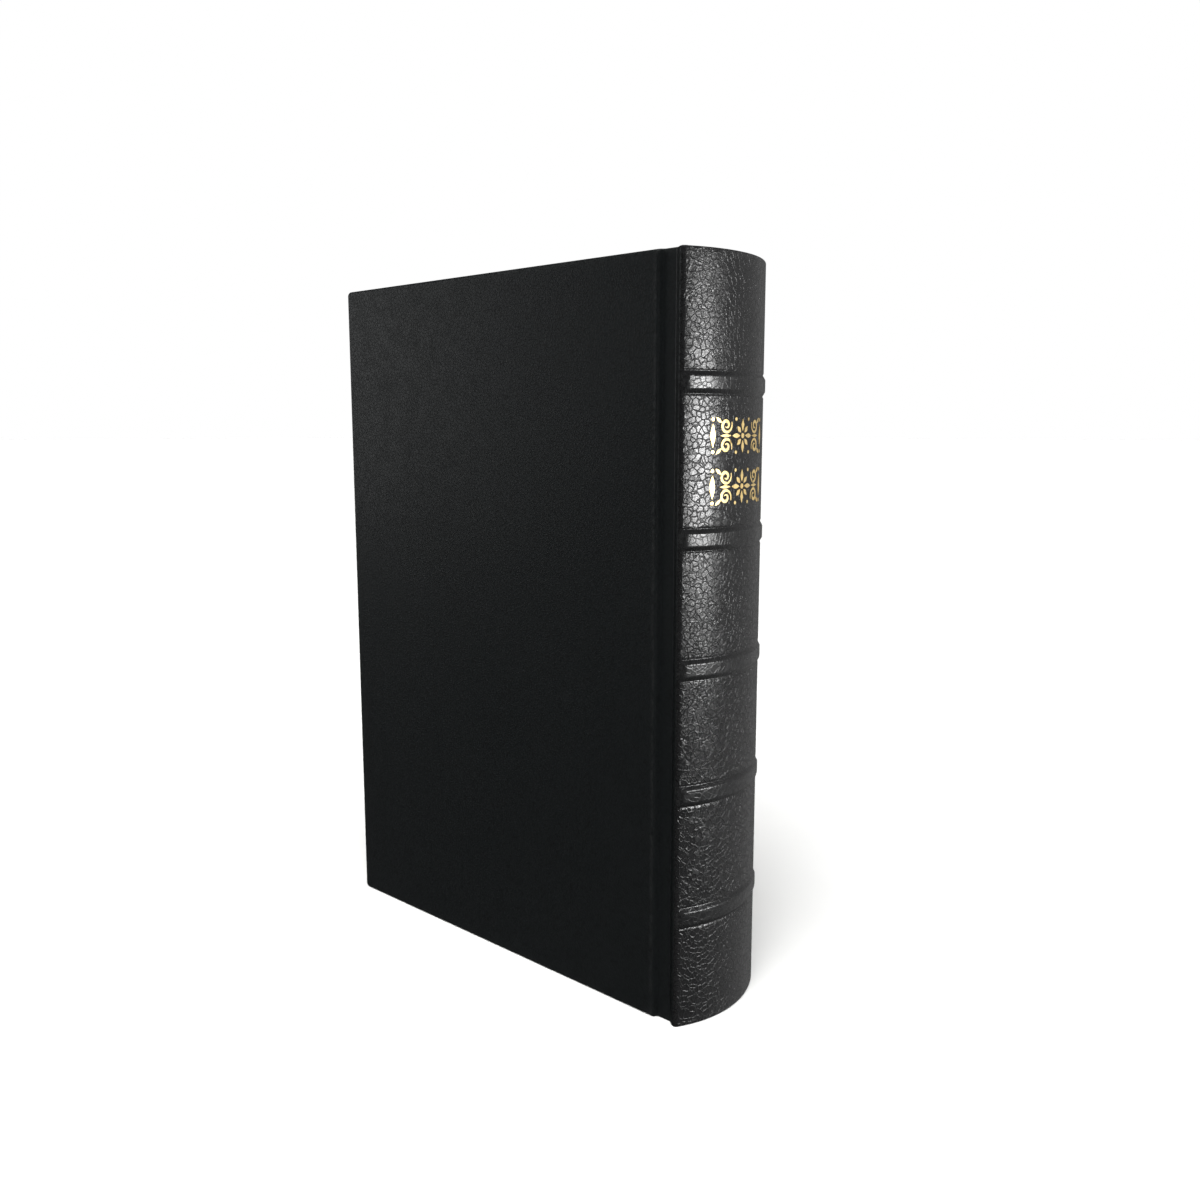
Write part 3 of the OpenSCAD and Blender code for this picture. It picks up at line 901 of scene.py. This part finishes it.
def ornament_shapes(half_w, half_h):
    """One row of the ornament about its own middle: a rosette between curls, leaves and lozenges."""
    shapes = [dot((0, 0), 0.14 * half_h)]
    for k in range(8):
        angle = k * math.pi / 4
        reach, length = (0.46 * half_h, 0.46 * half_h) if k % 2 else (0.56 * half_h, 0.66 * half_h)
        petal = (reach * math.cos(angle), reach * math.sin(angle))
        shapes.append(leaf_shape(petal, length, 0.25 * half_h, angle))
    for across in (-1, 1):
        shapes.append(leaf_shape((across * 0.56 * half_w, 0), 0.32 * half_w, 0.17 * half_h, 0))
        shapes.append(leaf_shape((across * 0.92 * half_w, 0), 1.25 * half_h, 0.14 * half_w, math.pi / 2))
        for up in (-1, 1):
            curl = (across * 0.55 * half_w, up * 0.53 * half_h)
            leaf = (across * 0.76 * half_w, up * 0.80 * half_h)
            slant = across * up * math.radians(38)
            shapes.append(spiral(curl, 0.44 * half_h, across, up))
            shapes.append(leaf_shape(leaf, 0.50 * half_h, 0.19 * half_h, slant))
            shapes.append(dot((across * 0.92 * half_w, up * 0.84 * half_h), 0.10 * half_h))
            shapes.append(dot((across * 0.24 * half_w, up * 0.86 * half_h), 0.09 * half_h))
    return shapes


def ornament():
    """Two rows of foil on the curve of the spine, a little above and below the leatherette's face."""
    lo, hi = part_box("spine_ornament")
    middle, half_w = (lo.z + hi.z) / 2, SPINE_R * math.asin(hi.y / SPINE_R)
    half_h = (hi.z - lo.z) * 0.215
    foil_out, foil_in = SPINE_R + 0.07 * MM, SPINE_R - 0.05 * MM
    parts, offset = [], 0
    for row in (-1, 1):
        for left, right in ornament_shapes(half_w, half_h):
            blend = np.linspace(0, 1, 4)[None, :, None]
            flat = left[:, None, :] * (1 - blend) + right[:, None, :] * blend
            angle = flat[..., 0] / SPINE_R
            z = middle + row * ((hi.z - lo.z) / 2 - half_h) + flat[..., 1]
            slab = arc_slab(angle, z, flat, foil_out, foil_in, flip=False)
            parts.append(shifted(slab, offset, 0))
            offset += len(slab[0])
    obj = joined("spine_gold_ornament", parts, [GOLD], ["spine_ornament"])
    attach(obj, "book_block")


# --- Frame nodes that stay ---

def keep_cad_nodes():
    """Materials for the CAD nodes that stay as they are."""
    kept = {"spine_inlay": GREYBOARD, "spine_lining": LINING, "spine_mull": MULL, "sewing_threads": THREAD}
    kept.update({f"{side}_board": GREYBOARD for side in SIDES})
    for name, material in kept.items():
        node = frame["nodes"][name]
        node.data.materials.clear()
        node.data.materials.append(material)


# --- Studio ---

CAMERA_AT = (CREST + 161.3 * MM, -239.2 * MM, 165.6 * MM)
CAMERA_YAW, CAMERA_PITCH = math.radians(40.71), math.radians(-7.94)
CAMERA_SHIFT = -0.02
FOCAL_MM, SENSOR_MM = 31.3, 36


def camera():
    """The photo's view, fitted to the corners of the cover and of the spine."""
    data = bpy.data.cameras.new("camera")
    data.sensor_width = SENSOR_MM
    data.lens = FOCAL_MM
    data.shift_y = CAMERA_SHIFT
    data.clip_start = 0.01
    data.dof.use_dof = False
    obj = bpy.data.objects.new("camera", data)
    bpy.context.scene.collection.objects.link(obj)
    obj.location = CAMERA_AT
    obj.rotation_euler = (math.pi / 2 + CAMERA_PITCH, 0, CAMERA_YAW)
    bpy.context.scene.camera = obj


def area_light(name, place_at, look_at, size, radiance):
    """A rectangular softbox of a given size and surface brightness."""
    data = bpy.data.lights.new(name, "AREA")
    data.shape = "RECTANGLE"
    data.size, data.size_y = size
    data.energy = radiance * math.pi * size[0] * size[1]
    obj = bpy.data.objects.new(name, data)
    bpy.context.scene.collection.objects.link(obj)
    obj.location = place_at
    obj.rotation_mode = "QUATERNION"
    obj.rotation_quaternion = (Vector(look_at) - Vector(place_at)).to_track_quat("-Z", "Y")


def lights():
    """A wide key light that leaves no reflection, and three softboxes."""
    sun = bpy.data.lights.new("key", "SUN")
    sun.energy = 4.4
    sun.angle = math.radians(50)
    key = bpy.data.objects.new("key", sun)
    bpy.context.scene.collection.objects.link(key)
    key.rotation_euler = (math.radians(28), math.radians(18), 0)
    key.visible_glossy = False
    # The softboxes: place, point looked at, width and height in metres, brightness.
    area_light("spine_softbox", (1.15, 0.09, 0.135), (CREST, 0, 0.15), (0.42, 0.19), 52.0)
    area_light("left_softbox", (-1.25, -0.72, 0.42), (0, 0, 0.16), (0.55, 0.80), 1.1)
    area_light("top_softbox", (0.0, -0.35, 1.3), (0, 0, 0.2), (0.9, 0.5), 2.0)


def pale_floor():
    """A plain pale floor that neither shines nor shows in reflections."""
    bpy.ops.mesh.primitive_plane_add(size=40)
    floor = bpy.context.object
    floor.name = "floor"
    n = Nodes("floor_paint", Specular_IOR_Level=0.0)
    speck = n.noise(n.local(30.0))
    floor.data.materials.append(n.out(Base_Color=n.mix(speck, rgb(0.80, 0.80, 0.79), rgb(0.83, 0.83, 0.82))))
    floor.visible_glossy = False


GLOW_WAY = (0.52, 0.85, -0.05)      # the side that the room's soft glow comes from
# From the cosine of the angle to that side to the glow's brightness.
GLOW = {"From Min": 0.45, "From Max": 0.97, "To Min": 0.07, "To Max": 0.48}


def room():
    """White behind the book; for light and reflections dim, with a soft glow on one side."""
    world = bpy.data.worlds.new("studio")
    bpy.context.scene.world = world
    world.use_nodes = True
    tree = world.node_tree
    background = tree.nodes["Background"]
    way = tree.nodes.new("ShaderNodeTexCoord")
    toward = tree.nodes.new("ShaderNodeVectorMath")
    toward.operation = "DOT_PRODUCT"
    toward.inputs[1].default_value = GLOW_WAY
    glow = tree.nodes.new("ShaderNodeMapRange")
    glow.interpolation_type = "SMOOTHSTEP"
    for key, value in GLOW.items():
        glow.inputs[key].default_value = value
    path = tree.nodes.new("ShaderNodeLightPath")
    level = tree.nodes.new("ShaderNodeMapRange")
    tree.links.new(way.outputs["Generated"], toward.inputs[0])
    tree.links.new(toward.outputs["Value"], glow.inputs["Value"])
    tree.links.new(glow.outputs["Result"], level.inputs["To Min"])
    tree.links.new(path.outputs["Is Camera Ray"], level.inputs["Value"])
    tree.links.new(level.outputs["Result"], background.inputs["Strength"])
    background.inputs["Color"].default_value = rgb(1, 1, 1)
    bpy.context.scene.view_settings.view_transform = "Standard"


camera()
lights()
pale_floor()
room()
rng = random.Random(7)
for side in SIDES:
    cover_leather(side)
    pastedown(side)
    mull_flap(side)
    flyleaf(side)
    for group in LEAF_BENDS:
        leaf_group(side, group, rng)
middle_block(rng)
end_band("headband_silk", "headband", True)
end_band("tailband_silk", "tailband", False)
spine_leather()
for i in range(1, len(BANDS) + 1):
    raised_band(i)
ornament()
keep_cad_nodes()
